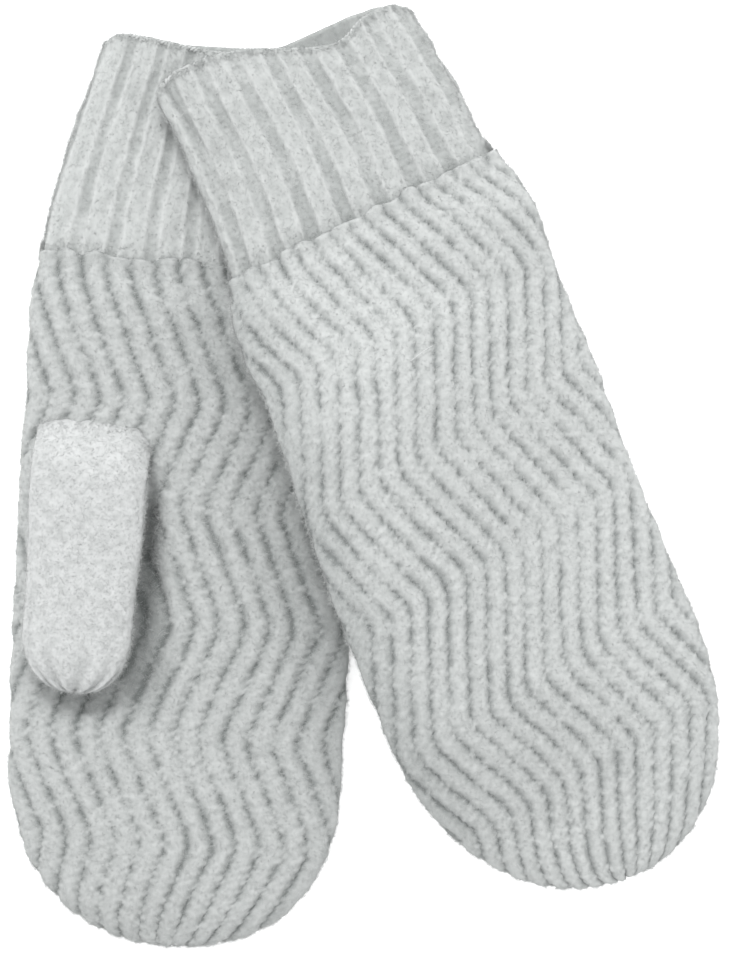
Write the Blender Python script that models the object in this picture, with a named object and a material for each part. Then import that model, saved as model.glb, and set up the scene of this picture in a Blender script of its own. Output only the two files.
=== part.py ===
"""A pair of knitted mittens laid flat: the left one rests across the right one.

Metres, +Z up. The fingertips point towards -Y and the cuffs towards +Y. The table is z = 0 and the
origin is under the middle of the pair. Each mitten is shaped in its own frame, which starts at the
middle of its cuff mouth: "across" runs to the right, "along" runs to the fingertips and "up" runs
away from the back of the hand. The right mitten lies palm up. The left one is its mirror image,
palm down, and drapes over the right one and over its own thumb.
"""
import math
from dataclasses import dataclass

import bmesh
import bpy
import numpy as np
from mathutils import Vector

# Fabric and yarn
HAND_WALL = 0.0030
CUFF_WALL = 0.0026
THUMB_WALL = 0.0020
SEAM_RADIUS = 0.0010
GAP = 0.0003
SEAM_ROOM = SEAM_RADIUS + GAP

# Thickness of a mitten as it lies
CUFF_THICK = 0.0120
HAND_THICK = 0.0145
SWELL = 0.014            # length over which the cuff's thickness grows into the hand's

# Section of a flattened sleeve
SIDE_POWER = 2.0 / 3.0
TOP_POWER = 2.0 / 2.4
FLAT_SHARE = 1.06        # cuts the crown off into a flat of about half the width

# Rounded end of the hand
TIP_WIDTH_POWER = 2.15
TIP_THICK_POWER = 6.0
TIP_ROUND_POWER = 2.2
TIP_LAST_TURN = math.radians(85)
TIP_SINK = 0.55          # share of the thickness by which the tip's edge sinks to the table

# Thumb: a flattened tube sewn into the palm
THUMB_ACROSS = -0.0290   # middle of the thumb, from the hand's middle
THUMB_ROOT = 0.1180      # the root line, from the cuff mouth
THUMB_LENGTH = 0.0800
THUMB_HALF = 0.0172
THUMB_THICK = 0.0090
THUMB_ROOT_ROUND = 0.0070
THUMB_ROOT_FLAT = 0.35   # share of the thickness left at the root line
THUMB_TIP_ROUND = 0.0165
THUMB_TIP_FLAT = 0.30    # share of the thickness left at the tip
THUMB_LIFT = 0.0008      # gap between the thumb and the palm
HOLE_ALONG = 0.0125      # middle of the thumb hole, from the root line
PALM_HOLE = (0.0140, 0.0105)
THUMB_HOLE = (0.0120, 0.0090)
GATHER_SIZE = (0.0030, 0.0014, 0.0020)
GATHER_RISE = 0.4        # share of the thumb's thickness

# The left mitten's drape
STACK_GAP = 0.0006
DRAPE_START = 0.004
DRAPE_RUN = 0.065
THUMB_RUN_ACROSS = 0.056
THUMB_RUN_ALONG = 0.048
THUMB_MARGIN = 0.003

# Mesh fineness
BODY_ROWS = 11
TIP_ROWS = 8
PANEL_COLUMNS = 14
CUFF_ROWS = 5
CUFF_COLUMNS = 28
THUMB_COLUMNS = 20
HOLE_SIDES = 20
THUMB_ROWS = 4
THUMB_ROOT_TURNS = tuple(math.radians(turn) for turn in (0, 35, 62, 90))
THUMB_TIP_TURNS = tuple(math.radians(turn) for turn in (0, 28, 52, 70, 83))
SHARP_ANGLE = math.radians(40)


@dataclass(frozen=True)
class Mitten:
    """One mitten's size and place; stations are pairs of a distance along and a value."""
    side: str
    mouth: tuple         # middle of the cuff mouth on the table
    lean: float          # turn about +Z
    cuff: float          # length of the cuff
    tip_start: float
    tip_length: float
    half_widths: tuple
    sway: tuple          # how far the middle line strays across
    slant: tuple         # how far the rows run along for each metre across
    palm_up: bool


RIGHT = Mitten(
    side="right",
    mouth=(-0.0386, 0.1308),
    lean=math.radians(-3.8),
    cuff=0.068,
    tip_start=0.220,
    tip_length=0.0535,
    half_widths=((0.0, 0.0395), (0.018, 0.0415), (0.036, 0.0445), (0.054, 0.0480), (0.072, 0.0502),
                 (0.125, 0.0508), (0.220, 0.0502)),
    sway=((0.0, 0.0), (0.036, -0.0047), (0.072, -0.0058), (0.125, -0.0055), (0.200, -0.0045),
          (0.274, -0.0015)),
    slant=((0.0, 0.0), (0.274, 0.0)),
    palm_up=True,
)
LEFT = Mitten(
    side="left",
    mouth=(-0.0248, 0.1275),
    lean=math.radians(22.4),
    cuff=0.057,
    tip_start=0.205,
    tip_length=0.0642,
    half_widths=((0.0, 0.0396), (0.030, 0.0412), (0.054, 0.0435), (0.066, 0.0475), (0.100, 0.0484),
                 (0.150, 0.0494), (0.205, 0.0492)),
    sway=((0.0, 0.0), (0.034, 0.0034), (0.054, 0.0036), (0.075, 0.0042), (0.110, 0.0034),
          (0.160, 0.0012), (0.205, 0.0008), (0.269, 0.0018)),
    slant=((0.0, 0.0), (0.057, -0.090), (0.120, -0.070), (0.205, 0.0), (0.269, 0.0)),
    palm_up=False,
)

WOOL = (0.66, 0.69, 0.68, 1.0)
WOOL_PALM = (0.62, 0.66, 0.65, 1.0)
JERSEY = (0.72, 0.75, 0.74, 1.0)
SEAM_YARN = (0.52, 0.55, 0.54, 1.0)
WOOL_ROUGHNESS = 0.95
YARN_ROUGHNESS = 0.90


def clear_scene():
    for thing in list(bpy.data.objects):
        bpy.data.objects.remove(thing, do_unlink=True)


def make_collection(name):
    group = bpy.data.collections.new(name)
    bpy.context.scene.collection.children.link(group)
    return group


def make_material(name, colour, roughness):
    material = bpy.data.materials.new(name)
    material.use_nodes = True
    shader = material.node_tree.nodes["Principled BSDF"]
    shader.inputs["Base Color"].default_value = colour
    shader.inputs["Roughness"].default_value = roughness
    shader.inputs["Metallic"].default_value = 0.0
    return material


def ease(share):
    share = min(max(share, 0.0), 1.0)
    return share * share * (3.0 - 2.0 * share)


def read_stations(stations, along):
    """A smooth curve through the stations, as cubic pieces with shared slopes."""
    places = [station[0] for station in stations]
    values = [station[1] for station in stations]
    slopes = np.gradient(values, places)
    along = min(max(along, places[0]), places[-1])
    piece = min(max(int(np.searchsorted(places, along)) - 1, 0), len(places) - 2)
    run = places[piece + 1] - places[piece]
    s = (along - places[piece]) / run
    start = (1 + 2 * s) * (1 - s) ** 2 * values[piece] + s * (1 - s) ** 2 * run * slopes[piece]
    end = s * s * (3 - 2 * s) * values[piece + 1] + s * s * (s - 1) * run * slopes[piece + 1]
    return float(start + end)


def signed_power(value, power):
    return math.copysign(abs(value) ** power, value)


def thickness(mitten, along):
    return CUFF_THICK + (HAND_THICK - CUFF_THICK) * ease((along - mitten.cuff) / SWELL)


def to_table(mitten, across, along):
    """World x and y of a point in a mitten's own frame."""
    turn_x = math.cos(mitten.lean)
    turn_y = math.sin(mitten.lean)
    return (mitten.mouth[0] + across * turn_x + along * turn_y,
            mitten.mouth[1] + across * turn_y - along * turn_x)


def from_table(mitten, x, y):
    turn_x = math.cos(mitten.lean)
    turn_y = math.sin(mitten.lean)
    dx = x - mitten.mouth[0]
    dy = y - mitten.mouth[1]
    return dx * turn_x + dy * turn_y, dx * turn_y - dy * turn_x


def drape(across, along):
    """Height of the surface that the left mitten's palm lies on."""
    x, y = to_table(LEFT, across, along)
    under_across, under_along = from_table(RIGHT, x, y)
    under_along = max(under_along, 0.0)
    edge = read_stations(RIGHT.half_widths, under_along) + read_stations(RIGHT.sway, under_along)
    over_right = 1.0 - ease((under_across - edge - DRAPE_START) / DRAPE_RUN)
    height = (thickness(RIGHT, under_along) + STACK_GAP) * over_right
    middle = read_stations(LEFT.sway, THUMB_ROOT)
    inner = middle + THUMB_ACROSS + THUMB_HALF + THUMB_MARGIN
    beside = 1.0 - ease((across - inner) / THUMB_RUN_ACROSS)
    before = ease((along - THUMB_ROOT + THUMB_MARGIN + THUMB_RUN_ALONG) / THUMB_RUN_ALONG)
    beyond = 1.0 - ease((along - THUMB_ROOT - THUMB_LENGTH - THUMB_MARGIN) / THUMB_RUN_ALONG)
    return height + (THUMB_THICK + THUMB_LIFT + GAP) * beside * before * beyond


def lay(mitten, across, along, up):
    """A point of a mitten as it lies: the left one is turned over and draped."""
    along = along + read_stations(mitten.slant, along) * across
    if not mitten.palm_up:
        up = thickness(mitten, along) - up + drape(across, along)
    return Vector((across, -along, up))


def hand_rows(mitten):
    """Rows of the hand as a distance along and a share of the rounded tip."""
    start = mitten.cuff + SEAM_ROOM
    rows = [(start + (mitten.tip_start - start) * row / BODY_ROWS, 0.0) for row in range(BODY_ROWS)]
    turns = [TIP_LAST_TURN * row / TIP_ROWS for row in range(TIP_ROWS + 1)]
    return rows + [(mitten.tip_start, math.sin(turn)) for turn in turns]


def hand_middle(mitten, row):
    """The hand's middle height, and how far its rounded end has closed at a row."""
    base, share = row
    open_share = (1.0 - share ** TIP_THICK_POWER) ** (1.0 / TIP_ROUND_POWER)
    half = thickness(mitten, base) / 2.0 - SEAM_ROOM
    return SEAM_ROOM + half * (1.0 - TIP_SINK + TIP_SINK * open_share), half, open_share


def hand_point(mitten, row, turn, inset, face):
    """A point of one panel: face is 1 for the palm and -1 for the back."""
    base, share = row
    along = base + share * (mitten.tip_length - inset)
    middle, half, open_share = hand_middle(mitten, row)
    width = read_stations(mitten.half_widths, base) - inset
    width *= (1.0 - share ** TIP_WIDTH_POWER) ** (1.0 / TIP_WIDTH_POWER)
    across = read_stations(mitten.sway, along) + width * signed_power(math.cos(turn), SIDE_POWER)
    crown = min(1.0, FLAT_SHARE * math.sin(turn) ** TOP_POWER)
    up = middle + face * (SEAM_ROOM + (half - inset) * crown * open_share)
    return lay(mitten, across, along, up)


def cuff_point(mitten, along, turn, inset):
    half = thickness(mitten, along) / 2.0
    width = read_stations(mitten.half_widths, along) - inset
    across = read_stations(mitten.sway, along) + width * signed_power(math.cos(turn), SIDE_POWER)
    crown = min(1.0, FLAT_SHARE * abs(math.sin(turn)) ** TOP_POWER)
    up = half + math.copysign(half - inset, math.sin(turn)) * crown
    return lay(mitten, across, along, up)


def finish_mesh(name, mesh_work, group, material, frame):
    """Turn a bmesh into an object of the pair, with its faces pointing out."""
    mesh_work.normal_update()
    bmesh.ops.recalc_face_normals(mesh_work, faces=mesh_work.faces)
    mesh = bpy.data.meshes.new(name)
    mesh_work.to_mesh(mesh)
    mesh_work.free()
    mesh.shade_smooth()
    mesh.set_sharp_from_angle(angle=SHARP_ANGLE)
    if material is not None:
        mesh.materials.append(material)
    thing = bpy.data.objects.new(name, mesh)
    thing.parent = frame
    group.objects.link(thing)
    return thing


def bridge(mesh_work, first, second, closed):
    """Quads between two rows of vertices."""
    count = len(first)
    for index in range(count if closed else count - 1):
        after = (index + 1) % count
        mesh_work.faces.new((first[index], first[after], second[after], second[index]))


def make_sheet(name, outer, inner, group, material, frame):
    """A thick panel from two matching grids of points, closed round its rim."""
    work = bmesh.new()
    skins = [[[work.verts.new(point) for point in row] for row in grid] for grid in (outer, inner)]
    for skin in skins:
        for row in range(len(skin) - 1):
            bridge(work, skin[row], skin[row + 1], False)
    rims = []
    for skin in skins:
        left = [row[0] for row in skin]
        right = [row[-1] for row in skin]
        rims.append(skin[0] + right[1:-1] + skin[-1][::-1] + left[-2:0:-1])
    bridge(work, rims[0], rims[1], True)
    return finish_mesh(name, work, group, material, frame)


def make_sleeve(name, outer, inner, group, material, frame):
    """An open tube with a wall, from two matching stacks of loops."""
    work = bmesh.new()
    skins = [[[work.verts.new(point) for point in loop] for loop in stack] for stack in (outer, inner)]
    for skin in skins:
        for row in range(len(skin) - 1):
            bridge(work, skin[row], skin[row + 1], True)
    bridge(work, skins[0][0], skins[1][0], True)
    bridge(work, skins[0][-1], skins[1][-1], True)
    return finish_mesh(name, work, group, material, frame)


def make_loft(name, loops, group, material, frame):
    """A solid through a stack of loops, with flat ends."""
    work = bmesh.new()
    stack = [[work.verts.new(point) for point in loop] for loop in loops]
    for row in range(len(stack) - 1):
        bridge(work, stack[row], stack[row + 1], True)
    work.faces.new(stack[0])
    work.faces.new(stack[-1])
    return finish_mesh(name, work, group, material, frame)


def make_yarn(name, points, closed, group, material, frame):
    """A seam yarn along a path, as a bevelled curve."""
    curve = bpy.data.curves.new(name, "CURVE")
    curve.dimensions = "3D"
    curve.bevel_depth = SEAM_RADIUS
    curve.bevel_resolution = 1
    curve.use_fill_caps = True
    spline = curve.splines.new("POLY")
    spline.points.add(len(points) - 1)
    for spot, point in zip(spline.points, points):
        spot.co = (*point, 1.0)
    spline.use_cyclic_u = closed
    curve.materials.append(material)
    thing = bpy.data.objects.new(name, curve)
    thing.parent = frame
    group.objects.link(thing)
    return thing


def cut(thing, cutter):
    modifier = thing.modifiers.new(f"cut by {cutter.name}", "BOOLEAN")
    modifier.operation = "DIFFERENCE"
    modifier.object = cutter
    cutter.hide_render = True
    cutter.display_type = "WIRE"


def loop_turns(count):
    return [math.tau * index / count for index in range(count)]


def make_cuff(mitten, groups, materials, frame):
    first = SEAM_RADIUS + SEAM_ROOM
    last = mitten.cuff - SEAM_ROOM
    steps = [first + (last - first) * row / CUFF_ROWS for row in range(CUFF_ROWS + 1)]
    turns = loop_turns(CUFF_COLUMNS)
    outer = [[cuff_point(mitten, step, turn, 0.0) for turn in turns] for step in steps]
    inner = [[cuff_point(mitten, step, turn, CUFF_WALL) for turn in turns] for step in steps]
    make_sleeve(f"{mitten.side}_cuff", outer, inner, groups[0], materials["rib"], frame)
    for part, along in (("cuff_edge", SEAM_RADIUS), ("cuff_seam", mitten.cuff)):
        path = [cuff_point(mitten, along, turn, CUFF_WALL / 2.0) for turn in turns]
        make_yarn(f"{mitten.side}_{part}", path, True, groups[0], materials["seam"], frame)


def make_panel(mitten, part, face, material, groups, frame):
    rows = hand_rows(mitten)
    turns = [math.pi * column / PANEL_COLUMNS for column in range(PANEL_COLUMNS + 1)]
    skins = [[[hand_point(mitten, row, turn, inset, face) for turn in turns] for row in rows]
             for inset in (0.0, HAND_WALL)]
    return make_sheet(f"{mitten.side}_{part}", *skins, groups[0], material, frame)


def make_side_seam(mitten, groups, material, frame):
    """The yarn that links the two panels from the wrist round the fingertips and back."""
    sides = []
    inset = HAND_WALL / 2.0
    rows = hand_rows(mitten)
    rows[0] = (rows[0][0] + SEAM_RADIUS + GAP, 0.0)
    for turn in (0.0, math.pi):
        side = []
        for base, share in rows:
            middle = hand_middle(mitten, (base, share))[0]
            along = base + share * (mitten.tip_length - inset)
            width = read_stations(mitten.half_widths, base) - inset
            width *= (1.0 - share ** TIP_WIDTH_POWER) ** (1.0 / TIP_WIDTH_POWER)
            across = read_stations(mitten.sway, along) + width * math.cos(turn)
            side.append(lay(mitten, across, along, middle))
        sides.append(side)
    path = sides[0] + sides[1][::-1]
    make_yarn(f"{mitten.side}_side_seam", path, False, groups[0], material, frame)


def thumb_middle(mitten):
    return read_stations(mitten.sway, THUMB_ROOT) + THUMB_ACROSS


def thumb_palm_height():
    return HAND_THICK + THUMB_LIFT


def oval(mitten, radii, up):
    """A level oval loop round the thumb hole."""
    return [lay(mitten, thumb_middle(mitten) + radii[0] * math.cos(turn),
                THUMB_ROOT + HOLE_ALONG + radii[1] * math.sin(turn), up)
            for turn in loop_turns(HOLE_SIDES)]


def thumb_loops(mitten, inset):
    """Flattened loops from the thumb's root line to its tip."""
    loops = []
    first = GAP + inset
    last = THUMB_LENGTH - inset
    root_round = THUMB_ROOT_ROUND - inset
    tip_round = THUMB_TIP_ROUND - inset
    straight = last - tip_round - first - root_round
    steps = []
    for turn in THUMB_ROOT_TURNS:
        height_share = THUMB_ROOT_FLAT + (1.0 - THUMB_ROOT_FLAT) * math.sin(turn)
        steps.append((first + root_round * (1.0 - math.cos(turn)), height_share, 1.0))
    for row in range(1, THUMB_ROWS):
        steps.append((first + root_round + straight * row / THUMB_ROWS, 1.0, 1.0))
    for turn in THUMB_TIP_TURNS:
        height_share = THUMB_TIP_FLAT + (1.0 - THUMB_TIP_FLAT) * math.cos(turn)
        steps.append((last - tip_round + tip_round * math.sin(turn), height_share, math.cos(turn)))
    for along, height_share, width_share in steps:
        half = (THUMB_THICK / 2.0 - inset) * height_share
        width = (THUMB_HALF - inset) * width_share
        loop = []
        for turn in loop_turns(THUMB_COLUMNS):
            across = thumb_middle(mitten) + width * signed_power(math.cos(turn), SIDE_POWER)
            up = thumb_palm_height() + inset + half * (1.0 + signed_power(math.sin(turn), TOP_POWER))
            loop.append(lay(mitten, across, THUMB_ROOT + along, up))
        loops.append(loop)
    return loops


def hinge_frame(mitten, frame):
    """An empty on the thumb's root line, where the thumb folds away from the palm."""
    pivot = bpy.data.objects.new(f"{mitten.side}_thumb_pivot", None)
    pivot.parent = frame
    pivot.location = lay(mitten, thumb_middle(mitten), THUMB_ROOT, thumb_palm_height())
    bpy.context.scene.collection.objects.link(pivot)
    return pivot


def shift_to_pivot(thing, pivot):
    """Give a piece its origin on the pivot without moving its surface."""
    for vertex in thing.data.vertices:
        vertex.co -= pivot.location
    thing.parent = pivot


def make_thumb(mitten, groups, materials, frame):
    pivot = hinge_frame(mitten, frame)
    thumb = make_loft(f"{mitten.side}_thumb", thumb_loops(mitten, 0.0), groups[0], materials["jersey"],
                      frame)
    hollow = make_loft(f"{mitten.side}_thumb_hollow", thumb_loops(mitten, THUMB_WALL), groups[1], None,
                       frame)
    base = thumb_palm_height()
    entry_loops = [oval(mitten, THUMB_HOLE, base + height) for height in (-THUMB_WALL, 2 * THUMB_WALL)]
    entry = make_loft(f"{mitten.side}_thumb_entry", entry_loops, groups[1], None, frame)
    for piece in (thumb, hollow, entry):
        shift_to_pivot(piece, pivot)
    cut(thumb, hollow)
    cut(thumb, entry)
    make_gather(mitten, groups, materials["seam"], frame, pivot)


def make_gather(mitten, groups, material, frame, pivot):
    """The drawn-in yarn end that closes the thumb's tip."""
    work = bmesh.new()
    bmesh.ops.create_uvsphere(work, u_segments=10, v_segments=6, radius=1.0)
    along = THUMB_ROOT + THUMB_LENGTH + GATHER_SIZE[1] + GAP
    up = thumb_palm_height() + THUMB_THICK * GATHER_RISE
    for vertex in work.verts:
        x, y, z = vertex.co
        vertex.co = lay(mitten, thumb_middle(mitten) + GATHER_SIZE[0] * x,
                        along + GATHER_SIZE[1] * y, up + GATHER_SIZE[2] * z)
    gather = finish_mesh(f"{mitten.side}_thumb_gather", work, groups[0], material, frame)
    shift_to_pivot(gather, pivot)


def make_thumb_seam(mitten, palm, groups, material, frame):
    """The thumb hole in the palm and the yarn round its edge."""
    low = HAND_THICK - 2.0 * HAND_WALL
    high = HAND_THICK + HAND_WALL
    opening = make_loft(f"{mitten.side}_palm_opening",
                        [oval(mitten, PALM_HOLE, up) for up in (low, high)], groups[1], None, frame)
    cut(palm, opening)
    inside = [radius - SEAM_ROOM for radius in PALM_HOLE]
    path = oval(mitten, inside, HAND_THICK - SEAM_RADIUS)
    make_yarn(f"{mitten.side}_thumb_seam", path, True, groups[0], material, frame)


def make_mitten(mitten, groups, materials):
    frame = bpy.data.objects.new(f"{mitten.side}_mitten", None)
    frame.location = (*mitten.mouth, 0.0)
    frame.rotation_euler = (0.0, 0.0, mitten.lean)
    bpy.context.scene.collection.objects.link(frame)
    make_cuff(mitten, groups, materials, frame)
    make_panel(mitten, "back_panel", -1, materials["hand"], groups, frame)
    palm = make_panel(mitten, "palm_panel", 1, materials["palm"], groups, frame)
    make_side_seam(mitten, groups, materials["seam"], frame)
    make_thumb_seam(mitten, palm, groups, materials["seam"], frame)
    make_thumb(mitten, groups, materials, frame)


def main():
    clear_scene()
    groups = (make_collection("knitted mittens"), make_collection("cutters"))
    materials = {
        "rib": make_material("ribbed wool", WOOL, WOOL_ROUGHNESS),
        "hand": make_material("zigzag rib wool", WOOL, WOOL_ROUGHNESS),
        "palm": make_material("zigzag rib wool, palm", WOOL_PALM, WOOL_ROUGHNESS),
        "jersey": make_material("jersey wool", JERSEY, WOOL_ROUGHNESS),
        "seam": make_material("seam yarn", SEAM_YARN, YARN_ROUGHNESS),
    }
    for mitten in (RIGHT, LEFT):
        make_mitten(mitten, groups, materials)


main()
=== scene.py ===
"""Looks of a pair of brushed wool mittens: ribbed cuffs, zigzag-rib hands and plain jersey thumbs.

Every knitted piece is a fine grid laid on the mitten's shape and raised stitch by stitch. Each
mitten is shaped in its own frame, which starts at the middle of its cuff mouth: "across" runs to
the right, "along" runs to the fingertips and "up" runs away from the back of the hand.
"""
import math
from dataclasses import dataclass

import bpy
import numpy as np
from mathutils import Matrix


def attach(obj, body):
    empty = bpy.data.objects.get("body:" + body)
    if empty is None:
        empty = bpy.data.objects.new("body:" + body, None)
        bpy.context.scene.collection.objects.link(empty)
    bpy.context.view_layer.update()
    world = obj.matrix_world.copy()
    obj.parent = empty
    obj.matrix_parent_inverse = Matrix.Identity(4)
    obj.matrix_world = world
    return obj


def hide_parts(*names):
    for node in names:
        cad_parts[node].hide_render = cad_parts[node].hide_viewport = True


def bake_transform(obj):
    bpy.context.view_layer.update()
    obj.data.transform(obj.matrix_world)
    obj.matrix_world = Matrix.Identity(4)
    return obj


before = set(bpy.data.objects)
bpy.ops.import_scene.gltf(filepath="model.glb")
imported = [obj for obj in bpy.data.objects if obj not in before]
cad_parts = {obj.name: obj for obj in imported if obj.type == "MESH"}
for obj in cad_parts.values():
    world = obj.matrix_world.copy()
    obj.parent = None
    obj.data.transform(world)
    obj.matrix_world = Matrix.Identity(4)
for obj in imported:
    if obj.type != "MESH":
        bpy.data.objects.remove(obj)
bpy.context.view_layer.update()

MM = 0.001

# The mittens' shape, as the frame has it
HAND_WALL = 3.0 * MM
CUFF_WALL = 2.6 * MM
CUFF_THICK = 12.0 * MM
HAND_THICK = 14.5 * MM
SWELL = 14.0 * MM             # run over which the cuff's thickness grows to the hand's
SIDE_POWER = 2.0 / 3.0
TOP_POWER = 2.0 / 2.4
FLAT_SHARE = 1.06
TIP_WIDTH_POWER = 2.15
TIP_THICK_POWER = 6.0
TIP_SINK = 0.55
THUMB_ACROSS = -29.0 * MM
THUMB_ROOT = 118.0 * MM
THUMB_LENGTH = 80.0 * MM
THUMB_HALF = 17.2 * MM
THUMB_THICK = 9.0 * MM
THUMB_RISE = 17.0 * MM        # how far along the thumb reaches its full thickness
THUMB_OVERLAP = 3.0 * MM      # how far the thumb's first rows lie back over the palm
THUMB_TIP_ROUND = 16.5 * MM
THUMB_LIFT = 0.8 * MM
THUMB_CLEARANCE = 1.5 * MM    # how much higher the underside lies past the root, clear of the ribs
STACK_GAP = 0.6 * MM
DRAPE_START = 4.0 * MM
DRAPE_RUN = 65.0 * MM
THUMB_RUN_ACROSS = 56.0 * MM
THUMB_RUN_ALONG = 48.0 * MM
THUMB_MARGIN = 3.0 * MM
THUMB_RAISE = THUMB_THICK + THUMB_LIFT + 0.3 * MM
THUMB_TAPER = 0.08          # how much narrower the thumb gets towards its tip
THUMB_BEND = 0.6 * MM       # how far the thumb leans outwards towards its tip
HOLLOW_DEPTH = 7.6 * MM     # deepest point of the dent beside a thumb lying on the palm
HOLLOW_OFF = 0.8 * MM       # from the thumb's side to the middle of the dent
HOLLOW_WIDTH = 2.8 * MM
HOLLOW_SPREAD = 5.2 * MM    # how much wider it gets towards the thumb's tip
PRESS_DEPTH = 5.5 * MM      # how far the upper mitten presses the lower one down
PRESS_RUN = 20.0 * MM
PRESS_ROOM = 1.2 * MM       # room left for the ribs between the two mittens
FLANK_DEPTH = 5.5 * MM      # how far the upper mitten's outer side slopes down
FLANK_RUN = 15.0 * MM

# Knitting
SEAM_ROOM = 0.35 * MM       # half the gap between two linked edges
FINE = 0.58 * MM            # grid pitch of the panels that lie on top
PLAIN = 0.80 * MM           # grid pitch of the panels underneath
COARSE = 6                  # the inner face has one grid line for this many outer ones
ROW_PITCH = 2.7             # millimetres from stitch to stitch along a rib
RIB_HEIGHT = 1.35           # millimetres from groove to ridge
TABLE_GLOW = 0.55           # light the table gives off, so that it shows as white
TIP_GATHER = 0.35           # how far the ribs draw together at the fingertips


@dataclass(frozen=True)
class Mitten:
    """One mitten's size, place and knitting; stations pair a distance along with a value."""
    side: str
    mouth: tuple
    lean: float
    cuff: float
    tip_start: float
    tip_length: float
    half_widths: tuple
    sway: tuple
    slant: tuple
    palm_up: bool
    rib_pitch: float       # millimetres from rib to rib
    turns: tuple           # millimetres along at which the zigzag turns
    course_slant: tuple    # how far the courses run along for each metre across
    cuff_ribs: int         # wide ribs on each face of the cuff
    cuff_valley: float     # share of a wide rib's pitch taken by the valley
    cuff_start: float      # millimetres by which the wide ribs are moved round the cuff
    front_edge: tuple      # the cuff's edge on the upper face: across, along, in millimetres
    rear_edge: tuple       # the same on the lower face


RIGHT = Mitten(
    side="right",
    mouth=(-0.0386, 0.1308),
    lean=math.radians(-3.8),
    cuff=0.068,
    tip_start=0.220,
    tip_length=0.0535,
    half_widths=((0.0, 0.0402), (0.018, 0.0418), (0.036, 0.0445), (0.054, 0.0480), (0.072, 0.0502),
                 (0.125, 0.0508), (0.220, 0.0502)),
    sway=((0.0, 0.0), (0.036, -0.0047), (0.072, -0.0058), (0.125, -0.0055), (0.200, -0.0045),
          (0.274, -0.0015)),
    slant=((0.0, 0.0), (0.274, 0.0)),
    palm_up=True,
    rib_pitch=7.3,
    turns=(69.0, 109.5, 141.0, 175.5, 210.0, 242.0, 276.0),
    course_slant=((0.0, 0.0), (0.274, 0.0)),
    cuff_ribs=9,
    cuff_valley=0.27,
    cuff_start=3.6,
    front_edge=((-41.0, 2.5), (-39.0, 0.3), (-29.0, -1.0), (-22.0, 0.0), (-10.0, 1.8), (2.0, 2.4),
                (17.0, 1.0), (40.0, 0.0)),
    rear_edge=((-40.0, 0.5), (0.0, 0.0), (40.0, 0.0)),
)
LEFT = Mitten(
    side="left",
    mouth=(-0.0248, 0.1275),
    lean=math.radians(22.4),
    cuff=0.057,
    tip_start=0.205,
    tip_length=0.0642,
    half_widths=((0.0, 0.0396), (0.030, 0.0412), (0.054, 0.0435), (0.066, 0.0475), (0.100, 0.0484),
                 (0.150, 0.0494), (0.205, 0.0492)),
    sway=((0.0, 0.0), (0.034, 0.0034), (0.054, 0.0036), (0.075, 0.0042), (0.110, 0.0034),
          (0.160, 0.0012), (0.205, 0.0008), (0.269, 0.0018)),
    slant=((0.0, 0.0), (0.057, -0.090), (0.120, -0.070), (0.205, 0.0), (0.269, 0.0)),
    palm_up=False,
    rib_pitch=6.35,
    turns=(57.0, 91.0, 127.2, 164.0, 203.8, 233.5, 272.0),
    course_slant=((0.0, 0.0), (0.057, -0.090), (0.091, -0.070), (0.127, -0.150), (0.164, -0.134),
                  (0.204, -0.130), (0.234, -0.140)),
    cuff_ribs=8,
    cuff_valley=0.36,
    cuff_start=1.0,
    front_edge=((-40.0, 1.0), (-39.2, -2.4), (-37.4, -4.6), (-34.0, -6.0), (-29.0, -6.2), (-16.6, -5.0),
                (-6.8, -2.4), (1.8, 1.2), (10.6, 4.4), (16.0, 5.2), (20.0, 4.2), (25.0, 1.6), (32.3, 0.4),
                (37.5, 1.2), (40.0, 4.0)),
    rear_edge=((-40.0, 1.0), (-37.0, -2.6), (-29.0, -4.6), (-6.6, -3.1), (-2.0, -2.2), (12.6, -2.2),
               (27.9, -2.3), (35.0, -1.0), (40.0, 4.0)),
)


# ---------------------------------------------------------------- shape

def ease(share):
    share = np.clip(share, 0.0, 1.0)
    return share * share * (3.0 - 2.0 * share)


def read_stations(stations, along):
    """A smooth curve through the stations, as cubic pieces with shared slopes."""
    places = np.array([station[0] for station in stations])
    values = np.array([station[1] for station in stations])
    slopes = np.gradient(values, places)
    along = np.clip(np.asarray(along, dtype=float), places[0], places[-1])
    piece = np.clip(np.searchsorted(places, along) - 1, 0, len(places) - 2)
    run = places[piece + 1] - places[piece]
    s = (along - places[piece]) / run
    start = (1 + 2 * s) * (1 - s) ** 2 * values[piece] + s * (1 - s) ** 2 * run * slopes[piece]
    end = s * s * (3 - 2 * s) * values[piece + 1] + s * s * (s - 1) * run * slopes[piece + 1]
    return start + end


def signed_power(value, power):
    return np.sign(value) * np.abs(value) ** power


def thickness(mitten, along):
    return CUFF_THICK + (HAND_THICK - CUFF_THICK) * ease((along - mitten.cuff) / SWELL)


def to_table(mitten, across, along):
    turn_x = math.cos(mitten.lean)
    turn_y = math.sin(mitten.lean)
    return (mitten.mouth[0] + across * turn_x + along * turn_y,
            mitten.mouth[1] + across * turn_y - along * turn_x)


def from_table(mitten, x, y):
    turn_x = math.cos(mitten.lean)
    turn_y = math.sin(mitten.lean)
    dx = x - mitten.mouth[0]
    dy = y - mitten.mouth[1]
    return dx * turn_x + dy * turn_y, dx * turn_y - dy * turn_x


def over_right(across, along):
    """Share from 1 to 0 by which the left mitten is held up there, and how far along the right one."""
    x, y = to_table(LEFT, across, along)
    under_across, under_along = from_table(RIGHT, x, y)
    under_along = np.maximum(under_along, 0.0)
    edge = read_stations(RIGHT.half_widths, under_along) + read_stations(RIGHT.sway, under_along)
    return 1.0 - ease((under_across - edge - DRAPE_START) / DRAPE_RUN), under_along


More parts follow.
